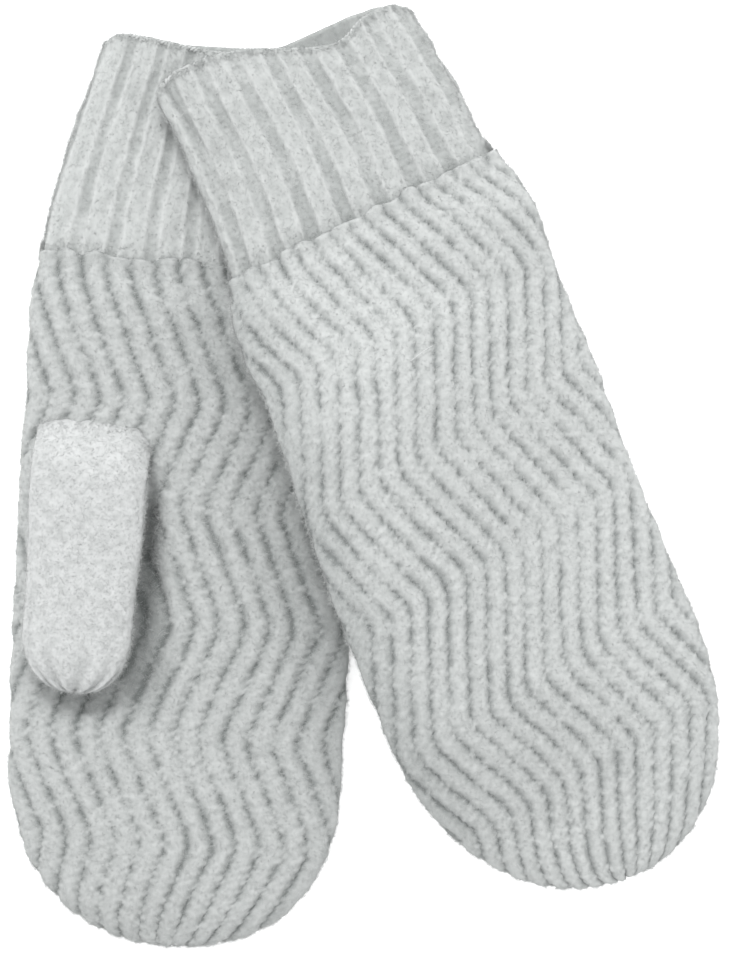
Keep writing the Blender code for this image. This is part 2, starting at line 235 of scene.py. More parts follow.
def drape(across, along):
    """Height of the surface that the left mitten's palm would lie on if nothing gave way."""
    share, under_along = over_right(across, along)
    height = (thickness(RIGHT, under_along) + STACK_GAP) * share
    inner = read_stations(LEFT.sway, THUMB_ROOT) + THUMB_ACROSS + THUMB_HALF + THUMB_MARGIN
    beside = 1.0 - ease((across - inner) / THUMB_RUN_ACROSS)
    before = ease((along - THUMB_ROOT + THUMB_MARGIN + THUMB_RUN_ALONG) / THUMB_RUN_ALONG)
    beyond = 1.0 - ease((along - THUMB_ROOT - THUMB_LENGTH - THUMB_MARGIN) / THUMB_RUN_ALONG)
    return height + THUMB_RAISE * beside * before * beyond


def left_border(along):
    return read_stations(LEFT.sway, along) - read_stations(LEFT.half_widths, along)


def pressed_down(x, y):
    """How far the left mitten's weight presses the right one down, beside and under it."""
    across, along = from_table(LEFT, x, y)
    beside = np.maximum(left_border(along) - across, 0.0)
    return PRESS_DEPTH * np.exp(-(beside / PRESS_RUN) ** 2)


def flank(across, along):
    """How far the upper face of the left mitten slopes down towards its outer side."""
    inside = np.maximum(across - left_border(along), 0.0)
    return FLANK_DEPTH * np.exp(-(inside / FLANK_RUN) ** 2)


def lay(mitten, across, along, up):
    """World places of points of a mitten, and how far along they are once slanted."""
    along = along + read_stations(mitten.slant, along) * across
    x, y = to_table(mitten, across, along)
    if mitten.palm_up:
        up = up - pressed_down(x, y) * np.clip(up / thickness(mitten, along), 0.0, 1.0)
    else:
        top_share = np.clip(1.0 - up / thickness(mitten, along), 0.0, 1.0)
        sunk = (PRESS_DEPTH - PRESS_ROOM) * over_right(across, along)[0] * (1.0 - top_share)
        up = (thickness(mitten, along) - up + drape(across, along) - sunk
              - flank(across, along) * top_share)
    shape = np.broadcast(x, y, up).shape
    places = np.stack([np.broadcast_to(value, shape) for value in (x, y, up)], axis=-1)
    return places, np.broadcast_to(along, shape)


def even_turns(width, height, first, last, pitch, step):
    """Turns round a flattened section at even distances, and those distances from its middle."""
    fine = np.linspace(first, last, 4001)
    x = width * signed_power(np.cos(fine), SIDE_POWER)
    z = height * np.minimum(1.0, FLAT_SHARE * np.abs(np.sin(fine)) ** TOP_POWER) * np.sign(np.sin(fine))
    run = np.concatenate([[0.0], np.cumsum(np.hypot(np.diff(x), np.diff(z)))])
    count = max(1, round(run[-1] / pitch / step)) * step
    wanted = np.linspace(0.0, run[-1], count + 1)
    return np.interp(wanted, run, fine), run[-1] / 2.0 - wanted


def panel_lines(mitten, pitch, step):
    """Grid lines of a panel: rows as (base, share of the tip), and columns as (turn, distance)."""
    start = mitten.cuff + SEAM_ROOM
    body = max(1, round((mitten.tip_start - start) / pitch / step)) * step
    last = math.radians(89.0)
    tip = max(1, round(mitten.tip_length * last / pitch / step)) * step
    turns = np.linspace(0.0, last, tip + 1)[1:]
    base = np.concatenate([np.linspace(start, mitten.tip_start, body + 1),
                           np.full(tip, mitten.tip_start)])
    share = np.concatenate([np.zeros(body + 1), np.sin(turns)])
    columns = even_turns(49.0 * MM, 6.2 * MM, 0.0, math.pi, pitch, step)
    return base[:, None], share[:, None], columns[0][None, :], columns[1][None, :]


def hand_middle(mitten, base, share):
    open_share = (1.0 - share ** TIP_THICK_POWER) ** (1.0 / 2.2)
    half = thickness(mitten, base) / 2.0 - SEAM_ROOM
    return SEAM_ROOM + half * (1.0 - TIP_SINK + TIP_SINK * open_share), half, open_share


def tip_closing(share):
    return (1.0 - share ** TIP_WIDTH_POWER) ** (1.0 / TIP_WIDTH_POWER)


def thumb_middle(mitten):
    return float(read_stations(mitten.sway, THUMB_ROOT)) + THUMB_ACROSS


def hollow(mitten, across, along):
    """Depth of the dent that the palm has along the inner side of a thumb lying on it."""
    spread = HOLLOW_WIDTH + HOLLOW_SPREAD * ease((along - THUMB_ROOT - 20.0 * MM) / (55.0 * MM))
    beside = (across - thumb_middle(mitten) - THUMB_HALF - HOLLOW_OFF) / spread
    start = ease((along - THUMB_ROOT - 6.0 * MM) / (26.0 * MM))
    end = 1.0 - ease((along - THUMB_ROOT - 72.0 * MM) / (28.0 * MM))
    under_tip = np.exp(-((across - thumb_middle(mitten) - 4.0 * MM) / (14.0 * MM)) ** 2
                       - ((along - THUMB_ROOT - THUMB_LENGTH) / (9.0 * MM)) ** 2)
    return HOLLOW_DEPTH * np.maximum(np.exp(-beside ** 2) * start * end, 0.75 * under_tip)


def hand_points(mitten, base, share, turn, inset, face):
    """Points of one panel's outer or inner face: face is 1 for the palm and -1 for the back."""
    along = base + share * (mitten.tip_length - inset)
    middle, half, open_share = hand_middle(mitten, base, share)
    width = (read_stations(mitten.half_widths, base) - inset) * tip_closing(share)
    across = read_stations(mitten.sway, along) + width * signed_power(np.cos(turn), SIDE_POWER)
    crown = np.minimum(1.0, FLAT_SHARE * np.abs(np.sin(turn)) ** TOP_POWER)
    up = middle + face * (SEAM_ROOM + (half - inset) * crown * open_share)
    if face > 0 and mitten.palm_up:
        up = up - hollow(mitten, across, along)
    places, real_along = lay(mitten, across, along + 0.0 * turn, up)
    return places, np.broadcast_to(across, real_along.shape), real_along


def cuff_points(mitten, share, turn, inset):
    """Points of the cuff: share runs from its edge at the mouth to the hand."""
    rough = read_stations(mitten.half_widths, 0.0) * signed_power(np.cos(turn), SIDE_POWER) / MM
    front = ease(0.5 + 1.2 * np.sin(turn) * (1 if mitten.palm_up else -1))
    edge = (front * read_stations(mitten.front_edge, rough)
            + (1.0 - front) * read_stations(mitten.rear_edge, rough)) * MM
    last = mitten.cuff - SEAM_ROOM
    along = edge + (last - edge) * share
    half = thickness(mitten, along) / 2.0
    width = read_stations(mitten.half_widths, along) - inset
    across = read_stations(mitten.sway, along) + width * signed_power(np.cos(turn), SIDE_POWER)
    crown = np.minimum(1.0, FLAT_SHARE * np.abs(np.sin(turn)) ** TOP_POWER)
    up = half + np.sign(np.sin(turn)) * (half - inset) * crown
    places, real_along = lay(mitten, across, along, up)
    return places, real_along


def thumb_points(mitten, steps, turn):
    """Points of the thumb: steps are (along, height share, width share) columns."""
    along, height_share, width_share = (column[:, None] for column in steps)
    half = THUMB_THICK / 2.0 * height_share
    side = signed_power(np.cos(turn), SIDE_POWER)
    drawn_in = ease((along - 15.0 * MM) / (60.0 * MM))
    width = THUMB_HALF * width_share * (1.0 - THUMB_TAPER * drawn_in)
    across = thumb_middle(mitten) - THUMB_BEND * drawn_in + width * side
    corner = np.where(side > 0, 5.2 * MM, 3.0 * MM) * side ** 4 * (1.0 - ease(along / (24.0 * MM)))
    from_start = along + THUMB_OVERLAP
    sunk = 2.8 * MM * (1.0 - ease(from_start / (8.0 * MM)))
    sunk = sunk + 2.2 * MM * (1.0 - ease(from_start / (1.8 * MM)))
    top = signed_power(np.sin(turn), TOP_POWER)
    clear = THUMB_CLEARANCE * ease((along - 2.0 * MM) / (8.0 * MM)) * (1.0 - top) / 2.0
    up = HAND_THICK + THUMB_LIFT - sunk + clear + half * (1.0 + top)
    return lay(mitten, across, THUMB_ROOT + along + corner, up)[0]


# ---------------------------------------------------------------- knitting

LATTICE = np.random.default_rng(11).random((256, 256)) * 2.0 - 1.0


def lumps(x, y, size, seed):
    """Smooth random lumps of one size, from -1 to 1."""
    gx = x / size + 31.7 * seed
    gy = y / size + 17.3 * seed
    ix = np.floor(gx).astype(int)
    iy = np.floor(gy).astype(int)
    fx = gx - ix
    fy = gy - iy
    fx = fx * fx * (3.0 - 2.0 * fx)
    fy = fy * fy * (3.0 - 2.0 * fy)
    low = LATTICE[ix % 256, iy % 256] * (1 - fx) + LATTICE[(ix + 1) % 256, iy % 256] * fx
    high = LATTICE[ix % 256, (iy + 1) % 256] * (1 - fx) + LATTICE[(ix + 1) % 256, (iy + 1) % 256] * fx
    return low * (1 - fy) + high * fy


def zigzag(mitten, course):
    """How far the ribs have moved across, in millimetres, with rounded turns."""
    places = np.array(mitten.turns)
    moves = np.where(np.arange(len(places) - 1) % 2 == 0, 0.424, -0.39) * np.diff(places)
    values = np.concatenate([[0.0], np.cumsum(moves)])
    offsets = (-3.2, -1.6, 0.0, 1.6, 3.2)
    return sum(np.interp(course + offset, places, values) for offset in offsets) / len(offsets)


def zigzag_relief(mitten, across, along, distance, closing, seed):
    """Height in millimetres and groove depth from 0 to 1 of the zigzag rib; the groove depth also darkens the
    colour as painted shade.
    """
    course = (along - read_stations(mitten.course_slant, along) * across) / MM
    fabric = distance / MM * closing ** (1.0 - TIP_GATHER)
    wander = 0.45 * lumps(fabric, course, 11.0, seed) + 0.28 * lumps(fabric, course, 3.4, seed + 1)
    phase = (fabric + wander - zigzag(mitten, course)) / mitten.rib_pitch
    rib = np.floor(phase)
    ridge = np.abs(np.sin(np.pi * phase)) ** 0.72
    beat = np.cos(math.tau * (course / ROW_PITCH + 0.5 * (rib % 2))
                  + 1.6 * lumps(fabric, course, 6.0, seed + 2))
    bridge = np.clip(0.60 + 0.26 * beat + 0.50 * lumps(fabric, course, 2.4, seed + 3)
                     + 0.30 * lumps(fabric, course, 12.0, seed + 8), 0.10, 1.0)
    groove = (1.0 - ridge) * bridge
    centre = 1.0 - np.exp(-((phase - rib - 0.5) * mitten.rib_pitch / 0.8) ** 2)
    stitch = 0.09 * beat * ridge + 0.10 * centre * ridge
    fluff = (0.22 * lumps(fabric, course, 2.6, seed + 9) + 0.09 * lumps(fabric, course, 1.5, seed + 4)
             + 0.03 * lumps(fabric, course, 0.9, seed + 5))
    soft = 0.55 * lumps(fabric, course, 31.0, seed + 6) + 0.25 * lumps(fabric, course, 14.0, seed + 7)
    height = 0.75 - RIB_HEIGHT * groove + stitch + fluff + soft
    # The groove depth darkens the colour as painted shade in the grooves, less where the ribs gather at the
    # tip.
    return height, groove * (0.35 + 0.65 * closing ** 0.5)


def cuff_relief(mitten, along, distance, half_run, seed):
    """Height in millimetres and shade from 0 to 1 of the wide rib."""
    fabric = distance / MM + mitten.cuff_start
    course = along / MM
    pitch = half_run / MM / mitten.cuff_ribs
    wander = 0.40 * lumps(fabric, course, 17.0, seed) + 0.18 * lumps(fabric, course, 4.0, seed + 1)
    phase = (fabric + wander) / pitch
    off = np.abs(phase - np.floor(phase) - 0.5) * pitch
    valley_half = mitten.cuff_valley * pitch / 2.0
    soft = 1.6
    raised = ease((off - valley_half) / soft + 0.5)
    lines = np.exp(-((off - valley_half - 0.75) / 0.42) ** 2)
    lines = lines * np.clip(0.65 + 0.60 * lumps(fabric, course, 7.0, seed + 8), 0.15, 1.2)
    crown = ease((off - valley_half) / (pitch / 2.0 - valley_half))
    faint = np.clip(0.66 + 0.38 * lumps(fabric, course, 13.0, seed + 7)
                    + 0.30 * lumps(fabric, course, 4.5, seed + 9), 0.12, 1.2)
    purl = np.cos(math.tau * course / 2.1 + 2.6 * lumps(fabric, course, 4.0, seed + 2))
    fluff = (0.24 * lumps(fabric, course / 1.6, 2.2, seed + 6)
             + 0.12 * lumps(fabric, course / 2.0, 1.2, seed + 3)
             + 0.04 * lumps(fabric, course, 0.8, seed + 4))
    height = (faint * (0.85 * raised + 0.25 * crown) + 0.36 * lines + 0.07 * purl * (1.0 - raised)
              + fluff + 0.5 * lumps(fabric, course, 24.0, seed + 5))
    # Painted shade darkens the valleys, painted highlight lightens the thin lines along the rib edges, the
    # middle of each raised rib is a little darker, and the lumps add random tone.
    shade = faint * (1.0 - raised) * (0.85 + 0.15 * purl) + 0.22 * crown - 0.35 * lines + 0.16
    shade = shade + 0.22 * lumps(fabric, course / 1.8, 1.6, seed + 10)
    return height - 0.35, np.clip(shade, 0.0, 1.0)


def crease_depth(mitten, from_edge, places):
    """Millimetres by which the left cuff folds in beside its outer corner."""
    if mitten.palm_up:
        return 0.0
    across, along = from_table(mitten, places[..., 0], places[..., 1])
    line = (-37.6 + 0.19 * (along / MM + 4.0)) * MM
    start = ease((along + 5.0 * MM) / (4.0 * MM))
    end = 1.0 - ease((along - 9.0 * MM) / (12.0 * MM))
    return 1.5 * np.exp(-((across - line) / (1.2 * MM)) ** 2) * start * end


def jersey_relief(across, along, seed):
    """Height in millimetres and shade of plain knitting, whose stitches are small vees."""
    wale = 1.9
    row = 1.5
    x = across + 0.30 * lumps(across, along, 5.0, seed) + 0.22 * lumps(across, along, 2.0, seed + 6)
    y = along + 0.30 * lumps(across, along, 4.0, seed + 1) + 0.22 * lumps(across, along, 1.9, seed + 7)
    place = np.abs((x / wale) % 1.0 - 0.5) * 2.0
    vee = 0.5 + 0.5 * np.cos(math.tau * (y / row - 0.55 * place))
    leg = np.sin(np.pi * np.clip(place * 0.9 + 0.05, 0, 1)) ** 0.7
    stitch = vee * leg * (0.65 + 0.5 * lumps(x, y, 3.1, seed + 8))
    fluff = 0.11 * lumps(x, y, 1.5, seed + 2) + 0.06 * lumps(x, y, 0.9, seed + 3)
    height = 0.12 * stitch + fluff + 0.3 * lumps(x, y, 13.0, seed + 4)
    # Painted shade darkens the gaps between the raised vee legs; the lumps add random tone.
    shade = np.clip(0.45 - 0.4 * stitch + 0.45 * lumps(x, y, 1.6, seed + 5), 0.0, 1.0)
    return height, shade


# ---------------------------------------------------------------- meshes

def grid_normals(places, closed):
    """Normals of a grid of points, for rows along and columns across."""
    if closed:
        wrapped = np.concatenate([places[:, -1:], places, places[:, :1]], axis=1)
        side = (wrapped[:, 2:] - wrapped[:, :-2])
    else:
        side = np.gradient(places, axis=1)
    run = np.gradient(places, axis=0)
    normals = np.cross(side, run)
    size = np.linalg.norm(normals, axis=-1, keepdims=True)
    return normals / np.maximum(size, 1e-12)


def facing_out(places, normals, inner):
    """Turn the normals so that they point away from a matching inner surface."""
    away = np.einsum("ijk,ijk->", normals, places - inner)
    return normals if away > 0 else -normals


def mesh_object(name, vertices, triangles, material, attributes):
    mesh = bpy.data.meshes.new(name)
    mesh.vertices.add(len(vertices))
    mesh.vertices.foreach_set("co", np.ascontiguousarray(vertices, dtype=np.float32).ravel())
    mesh.loops.add(len(triangles) * 3)
    mesh.loops.foreach_set("vertex_index", np.ascontiguousarray(triangles, dtype=np.int32).ravel())
    mesh.polygons.add(len(triangles))
    mesh.polygons.foreach_set("loop_start", np.arange(0, len(triangles) * 3, 3, dtype=np.int32))
    for key, values in attributes.items():
        layer = mesh.attributes.new(key, "FLOAT", "POINT")
        layer.data.foreach_set("value", np.ascontiguousarray(values, dtype=np.float32).ravel())
    mesh.update(calc_edges=True)
    mesh.validate()
    mesh.shade_smooth()
    mesh.materials.append(material)
    thing = bpy.data.objects.new(name, mesh)
    bpy.context.scene.collection.objects.link(thing)
    return thing


def grid_faces(index, closed):
    """Two triangles for each cell of a grid of vertex numbers."""
    if closed:
        index = np.concatenate([index, index[:, :1]], axis=1)
    a, b = index[:-1, :-1].ravel(), index[:-1, 1:].ravel()
    c, d = index[1:, 1:].ravel(), index[1:, :-1].ravel()
    return np.concatenate([np.stack([a, b, c], axis=1), np.stack([a, c, d], axis=1)])


def rim_faces(outer_loop, inner_loop, closed):
    """Triangles between a fine rim and a rim with fewer points."""
    step = (len(outer_loop) if closed else len(outer_loop) - 1) // \
           (len(inner_loop) if closed else len(inner_loop) - 1)
    faces = []
    count = len(inner_loop) if closed else len(inner_loop) - 1
    for index in range(count):
        here = inner_loop[index]
        after = inner_loop[(index + 1) % len(inner_loop)]
        for part in range(step):
            start = outer_loop[index * step + part]
            end = outer_loop[(index * step + part + 1) % len(outer_loop)]
            faces.append((start, here, end))
        faces.append((here, after, outer_loop[((index + 1) * step) % len(outer_loop)]))
    return np.array(faces)


def signed_volume(vertices, triangles):
    a, b, c = (vertices[triangles[:, corner]] for corner in range(3))
    return float(np.einsum("ij,ij->", a, np.cross(b, c)))


def sheet_piece(name, outer, inner, material, attributes):
    """A closed panel: a fine outer grid, a coarse inner grid and the rims between them."""
    rows, columns = outer.shape[:2]
    outer_index = np.arange(rows * columns).reshape(rows, columns)
    inner_index = np.arange(inner.shape[0] * inner.shape[1]).reshape(inner.shape[:2]) + rows * columns
    vertices = np.concatenate([outer.reshape(-1, 3), inner.reshape(-1, 3)])

    def rim(index):
        return np.concatenate([index[0, :-1], index[:-1, -1], index[-1, :0:-1], index[:0:-1, 0]])

    faces = [grid_faces(outer_index, False), grid_faces(inner_index, False)[:, ::-1],
             rim_faces(rim(outer_index), rim(inner_index), True)]
    return closed_piece(name, vertices, faces, material, attributes, rows * columns)


def sleeve_piece(name, outer, inner, material, attributes):
    """A closed sleeve: a fine outer tube, a coarse inner tube and a rim at each end."""
    rows, columns = outer.shape[:2]
    outer_index = np.arange(rows * columns).reshape(rows, columns)
    inner_index = np.arange(inner.shape[0] * inner.shape[1]).reshape(inner.shape[:2]) + rows * columns
    vertices = np.concatenate([outer.reshape(-1, 3), inner.reshape(-1, 3)])
    faces = [grid_faces(outer_index, True), grid_faces(inner_index, True)[:, ::-1],
             rim_faces(outer_index[0], inner_index[0], True),
             rim_faces(outer_index[-1][::-1], inner_index[-1][::-1], True)]
    return closed_piece(name, vertices, faces, material, attributes, rows * columns)


def closed_piece(name, vertices, faces, material, attributes, outer_count):
    triangles = np.concatenate(faces)
    if signed_volume(vertices - vertices.mean(axis=0), triangles) < 0:
        triangles = triangles[:, ::-1]
    full = {}
    for key, (outside, inside) in attributes.items():
        hidden = np.full(len(vertices) - outer_count, 0.5) if inside is None else inside.ravel()
        full[key] = np.concatenate([outside.ravel(), hidden])
    return mesh_object(name, vertices, triangles, material, full)


def fibre_roots(places, normals, count, rng, edge_share=0.0):
    """Evenly spread random roots, with a share of them only where the surface turns down at its sides."""
    outward = normals.reshape(-1, 3)
    steep = np.flatnonzero(np.abs(outward[:, 2]) < 0.6)
    cells = np.linalg.norm(np.cross(np.gradient(places, axis=0), np.gradient(places, axis=1)), axis=-1)
    chosen = rng.choice(len(outward), count, p=cells.ravel() / cells.sum())
    at_edge = rng.random(count) < edge_share
    if len(steep):
        share = cells.ravel()[steep] / cells.ravel()[steep].sum()
        chosen[at_edge] = rng.choice(steep, int(at_edge.sum()), p=share)
    root = places.reshape(-1, 3)[chosen] + rng.normal(0.0, 0.25 * MM, (count, 3))
    return root, outward[chosen]


def unit(vectors):
    return vectors / (np.linalg.norm(vectors, axis=1, keepdims=True) + 1e-9)


def above_table(fibres):
    """Leaves out the fibres that would reach through the table."""
    return fibres[fibres[..., 2].min(axis=1) > 0.0]


def short_fibres(name, places, normals, count, lengths, material, seed):
    """Brushed-up nap: straight tapered fibres that lie over the knitting, four faces each."""
    rng = np.random.default_rng(seed)
    root, normal = fibre_roots(places, normals, count, rng)
    side = unit(np.cross(normal, rng.normal(0.0, 1.0, (count, 3))))
    ahead = unit(normal * rng.uniform(0.12, 0.75, (count, 1)) + side)
    length = rng.uniform(*lengths, (count, 1)) * MM
    radius = rng.uniform(0.040, 0.065, (count, 1)) * MM
    across = unit(np.cross(ahead, normal))
    above = np.cross(across, ahead)
    root = root - normal * 0.15 * MM
    corners = [root + (across * math.cos(turn) + above * math.sin(turn)) * radius
               for turn in (0.0, math.tau / 3, 2 * math.tau / 3)]
    fibres = above_table(np.stack(corners + [root + ahead * length], axis=1))
    pattern = np.array([(0, 2, 1), (0, 1, 3), (1, 2, 3), (2, 0, 3)])
    triangles = (pattern[None] + 4 * np.arange(len(fibres))[:, None, None]).reshape(-1, 3)
    return mesh_object(name, fibres.reshape(-1, 3), triangles, material, {})


def long_fibres(name, places, normals, count, lengths, material, seed):
    """Loose curved fibres that stand off the knitting, each a thin closed three-sided tube."""
    rng = np.random.default_rng(seed)
    root, normal = fibre_roots(places, normals, count, rng, 0.45)
    side = unit(np.cross(normal, rng.normal(0.0, 1.0, (count, 3))))
    length = (lengths[0] + (lengths[1] - lengths[0]) * rng.random((count, 1)) ** 2.2) * MM
    first = unit(normal * rng.uniform(0.3, 1.1, (count, 1)) + side)
    curl = unit(np.cross(first, rng.normal(0.0, 1.0, (count, 3))))
    bottom = root - normal * 0.2 * MM
    middle = bottom + first * length * 0.55
    top = middle + (first * 0.6 + curl * rng.uniform(0.3, 1.0, (count, 1))) * length * 0.45
    across = np.cross(first, curl)
    radius = rng.uniform(0.030, 0.050, (count, 1)) * MM
    rings = []
    for centre, scale in ((bottom, 1.0), (middle, 0.75)):
        for corner in range(3):
            angle = math.tau * corner / 3
            rings.append(centre + (curl * math.cos(angle) + across * math.sin(angle)) * radius * scale)
    fibres = above_table(np.stack(rings + [top], axis=1))
    pattern = np.array([(0, 2, 1), (0, 1, 4), (0, 4, 3), (1, 2, 5), (1, 5, 4), (2, 0, 3), (2, 3, 5),
                        (3, 4, 6), (4, 5, 6), (5, 3, 6)])
    triangles = (pattern[None] + 7 * np.arange(len(fibres))[:, None, None]).reshape(-1, 3)
    return mesh_object(name, fibres.reshape(-1, 3), triangles, material, {})


def brushed(name, places, normals, nap, loose, materials, seed):
    """Both kinds of fibre on one knitted surface: nap and loose are (count, shortest, longest)."""
    return [short_fibres(f"{name}_nap", places, normals, nap[0], nap[1:], materials[0], seed),
            long_fibres(f"{name}_loose_fibres", places, normals, loose[0], loose[1:], materials[1], seed + 1)]


def painted_fold_shade(mitten, face, places, across, along):
    """How much the wool's colour is darkened as painted shade: in the dent beside the thumb, where the left
    mitten presses the right one down, and on the left mitten's outer flank.
    """
    if (face > 0) != mitten.palm_up:
        return 0.0
    if mitten.palm_up:
        return (0.45 * hollow(mitten, across, along) / HOLLOW_DEPTH
                + 0.16 * (pressed_down(places[..., 0], places[..., 1]) / PRESS_DEPTH) ** 2)
    return 0.30 * (flank(across, along) / FLANK_DEPTH) ** 2


def flyaway(name, places, normals, start, end, material):
    """One long hair of wool that lies over the knitting between two points seen from above."""
    surface = places.reshape(-1, 3)
    outward = normals.reshape(-1, 3)
    path = []
    for share in np.linspace(0.0, 1.0, 9):
        bow = 0.6 * MM * math.sin(math.pi * share)
        x = start[0] + (end[0] - start[0]) * share + bow
        y = start[1] + (end[1] - start[1]) * share + bow
        nearest = int(np.argmin((surface[:, 0] - x) ** 2 + (surface[:, 1] - y) ** 2))
        lift = (0.5 + 0.9 * math.sin(math.pi * share)) * MM
        path.append(np.array([x, y, surface[nearest, 2]]) + outward[nearest] * lift)
    return yarn_piece(name, path, 0.10 * MM, False, material)


def yarn_piece(name, path, radius, closed, material, twist_pitch=2.6 * MM, strands=2):
    """A plied yarn: strands wound round a path, as one bevelled curve each in one object."""
    path = np.asarray(path)
    ends = np.concatenate([path, path[:1]]) if closed else path
    run = np.concatenate([[0.0], np.cumsum(np.linalg.norm(np.diff(ends, axis=0), axis=1))])
    count = max(8, int(run[-1] / (0.45 * MM)))
    wanted = np.linspace(0.0, run[-1], count, endpoint=not closed)
    centre = np.stack([np.interp(wanted, run, ends[:, axis]) for axis in range(3)], axis=1)
    ahead = np.gradient(centre, axis=0)
    ahead /= np.linalg.norm(ahead, axis=1, keepdims=True)
    side = np.cross(ahead, (0.0, 0.0, 1.0))
    side /= np.linalg.norm(side, axis=1, keepdims=True) + 1e-9
    rise = np.cross(side, ahead)
    turns = max(1, round(run[-1] / twist_pitch))
    curve = bpy.data.curves.new(name, "CURVE")
    curve.dimensions = "3D"
    curve.bevel_depth = radius * 0.58
    curve.bevel_resolution = 1
    curve.use_fill_caps = True
    for strand in range(strands):
        angle = math.tau * (wanted / run[-1] * turns + strand / strands)
        points = centre + (side * np.cos(angle)[:, None] + rise * np.sin(angle)[:, None]) * radius * 0.5
        spline = curve.splines.new("POLY")
        spline.points.add(len(points) - 1)
        flat = np.concatenate([points, np.ones((len(points), 1))], axis=1)
        spline.points.foreach_set("co", flat.ravel())
        spline.use_cyclic_u = closed
    curve.materials.append(material)
    thing = bpy.data.objects.new(name, curve)
    bpy.context.scene.collection.objects.link(thing)
    return thing


# ---------------------------------------------------------------- materials

def fibre_mottle_group():
    """Tone that drifts over brushed wool, and the fine bump of its fibres."""
    group = bpy.data.node_groups.new("fibre mottle", "ShaderNodeTree")
    group.interface.new_socket("Yarn Scale", in_out="INPUT", socket_type="NodeSocketFloat")
    group.interface.new_socket("Fibre Scale", in_out="INPUT", socket_type="NodeSocketFloat")
    group.interface.new_socket("Tone", in_out="OUTPUT", socket_type="NodeSocketFloat")
    group.interface.new_socket("Fibres", in_out="OUTPUT", socket_type="NodeSocketFloat")
    nodes = group.nodes
    links = group.links
    entry = nodes.new("NodeGroupInput")
    leave = nodes.new("NodeGroupOutput")
    where = nodes.new("ShaderNodeTexCoord")
    yarn = nodes.new("ShaderNodeTexNoise")
    yarn.inputs["Detail"].default_value = 3.0
    yarn.inputs["Roughness"].default_value = 0.6
    fibre = nodes.new("ShaderNodeTexNoise")
    fibre.inputs["Detail"].default_value = 4.0
    fibre.inputs["Roughness"].default_value = 0.75
    fibre.inputs["Distortion"].default_value = 1.2
    links.new(where.outputs["Object"], yarn.inputs["Vector"])
    links.new(where.outputs["Object"], fibre.inputs["Vector"])
    links.new(entry.outputs["Yarn Scale"], yarn.inputs["Scale"])
    links.new(entry.outputs["Fibre Scale"], fibre.inputs["Scale"])
    links.new(yarn.outputs["Fac"], leave.inputs["Tone"])
    links.new(fibre.outputs["Fac"], leave.inputs["Fibres"])
    return group


def wool_material(name, mottle, light, dark, yarn_scale, fibre_scale, bump):
    """Brushed wool whose colour follows the groove attribute, painted shade in grooves and folds with some
    painted highlight, and drifts from yarn to yarn.
    """
    material = bpy.data.materials.new(name)
    material.use_nodes = True
    nodes = material.node_tree.nodes
    links = material.node_tree.links
    shader = nodes["Principled BSDF"]
    shader.inputs["Roughness"].default_value = 0.93
    shader.inputs["Specular IOR Level"].default_value = 0.12
    shader.inputs["Sheen Weight"].default_value = 0.12
    shader.inputs["Sheen Roughness"].default_value = 0.6
    spread = nodes.new("ShaderNodeGroup")
    spread.node_tree = mottle
    spread.inputs["Yarn Scale"].default_value = yarn_scale
    spread.inputs["Fibre Scale"].default_value = fibre_scale
    # the groove attribute: painted shade towards 1, painted highlight and random tone towards 0
    depth = nodes.new("ShaderNodeAttribute")
    depth.attribute_name = "groove"
    drift = nodes.new("ShaderNodeMapRange")
    drift.inputs["From Min"].default_value = 0.3
    drift.inputs["From Max"].default_value = 0.7
    drift.inputs["To Min"].default_value = -0.04
    drift.inputs["To Max"].default_value = 0.27
    links.new(spread.outputs["Tone"], drift.inputs["Value"])
    speck = nodes.new("ShaderNodeMapRange")
    speck.inputs["From Min"].default_value = 0.35
    speck.inputs["From Max"].default_value = 0.65
    speck.inputs["To Min"].default_value = -0.04
    speck.inputs["To Max"].default_value = 0.04
    links.new(spread.outputs["Fibres"], speck.inputs["Value"])
    both = nodes.new("ShaderNodeMath")
    both.operation = "ADD"
    links.new(drift.outputs["Result"], both.inputs[0])
    links.new(speck.outputs["Result"], both.inputs[1])
    total = nodes.new("ShaderNodeMath")
    total.operation = "ADD"
    total.use_clamp = True
    links.new(depth.outputs["Fac"], total.inputs[0])
    links.new(both.outputs["Value"], total.inputs[1])
    ramp = nodes.new("ShaderNodeValToRGB")
    ramp.color_ramp.elements[0].color = (*light, 1.0)
    ramp.color_ramp.elements[1].color = (*dark, 1.0)
    links.new(total.outputs["Value"], ramp.inputs["Fac"])
    links.new(ramp.outputs["Color"], shader.inputs["Base Color"])
    relief = nodes.new("ShaderNodeBump")
    relief.inputs["Strength"].default_value = bump
    relief.inputs["Distance"].default_value = 0.3 * MM
    links.new(spread.outputs["Fibres"], relief.inputs["Height"])
    links.new(relief.outputs["Normal"], shader.inputs["Normal"])
    return material


def plain_material(name, colour, roughness):
    material = bpy.data.materials.new(name)
    material.use_nodes = True
    shader = material.node_tree.nodes["Principled BSDF"]
    shader.inputs["Base Color"].default_value = (*colour, 1.0)
    shader.inputs["Roughness"].default_value = roughness
    shader.inputs["Specular IOR Level"].default_value = 0.15
    return material


